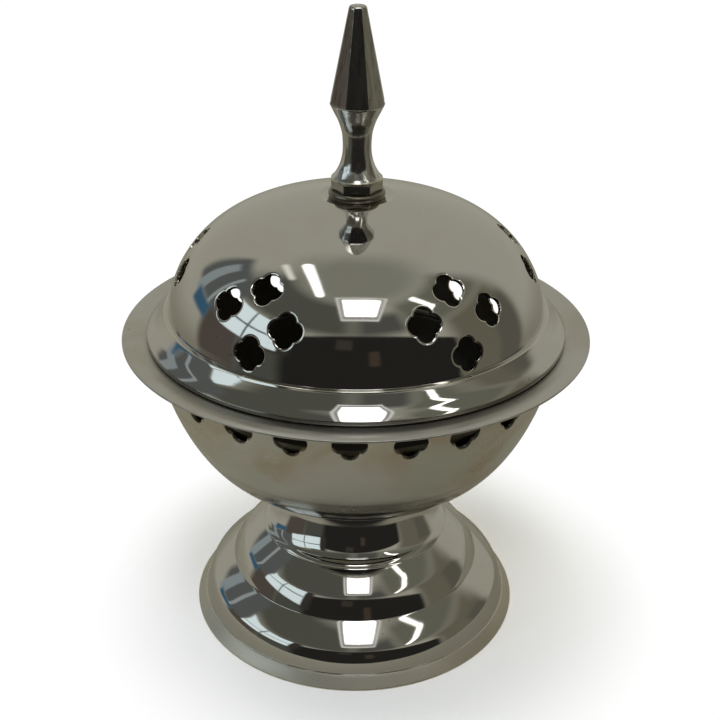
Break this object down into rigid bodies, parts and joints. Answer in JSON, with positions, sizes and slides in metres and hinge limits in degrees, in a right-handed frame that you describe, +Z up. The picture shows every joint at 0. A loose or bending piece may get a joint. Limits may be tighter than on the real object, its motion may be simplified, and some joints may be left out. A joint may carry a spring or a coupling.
{
  "type": "pedestal censer",
  "caption": "Free-standing incense burner: stepped foot, bowl with a flat flange and a pierced band, lift-out charcoal pan, and a pierced domed lid with a faceted finial that lifts off.",
  "frame": {"origin": "centre of the foot's bottom rim, on the plane that it stands on", "axes": "+Z up along the axis of revolution; -Y is the front, the side between two clusters of piercings in the lid"},
  "size_m": [0.16, 0.16, 0.2194],
  "materials": {
    "nickel_foot": "spun brass sheet, bright nickel plated",
    "nickel_bowl": "spun brass sheet, bright nickel plated, lightly worn",
    "nickel_lid": "spun brass sheet, bright nickel plated, lightly worn",
    "nickel_turned": "turned and faceted brass, nickel plated",
    "brass_raw": "dull brass, smoke stained",
    "steel": "zinc-plated steel, dulled",
    "pan_sheet": "spun brass sheet, heat stained and sooty"
  },
  "bodies": {
    "base": {"foot": "nickel_foot", "neck_collar": "nickel_turned", "bowl": "nickel_bowl", "bowl_washer": "steel", "pedestal_bolt": "steel", "foot_washer": "steel", "foot_wing_nut": "brass_raw"},
    "pan": {"charcoal_pan": "pan_sheet"},
    "lid": {"lid_dome": "nickel_lid", "locating_ring": "brass_raw", "finial_spire": "nickel_turned", "finial_hex_collar": "nickel_turned", "finial_washer": "nickel_turned", "finial_stud": "steel", "lid_washer": "brass_raw", "lid_nut": "brass_raw"}
  },
  "joints": [
    {"name": "lid_lift", "type": "slide", "parent": "base", "child": "lid", "axis": [0, 0, 1], "range_m": [0, 0.12]},
    {"name": "pan_lift", "type": "slide", "parent": "base", "child": "pan", "axis": [0, 0, 1], "range_m": [0, 0.031]}
  ]
}
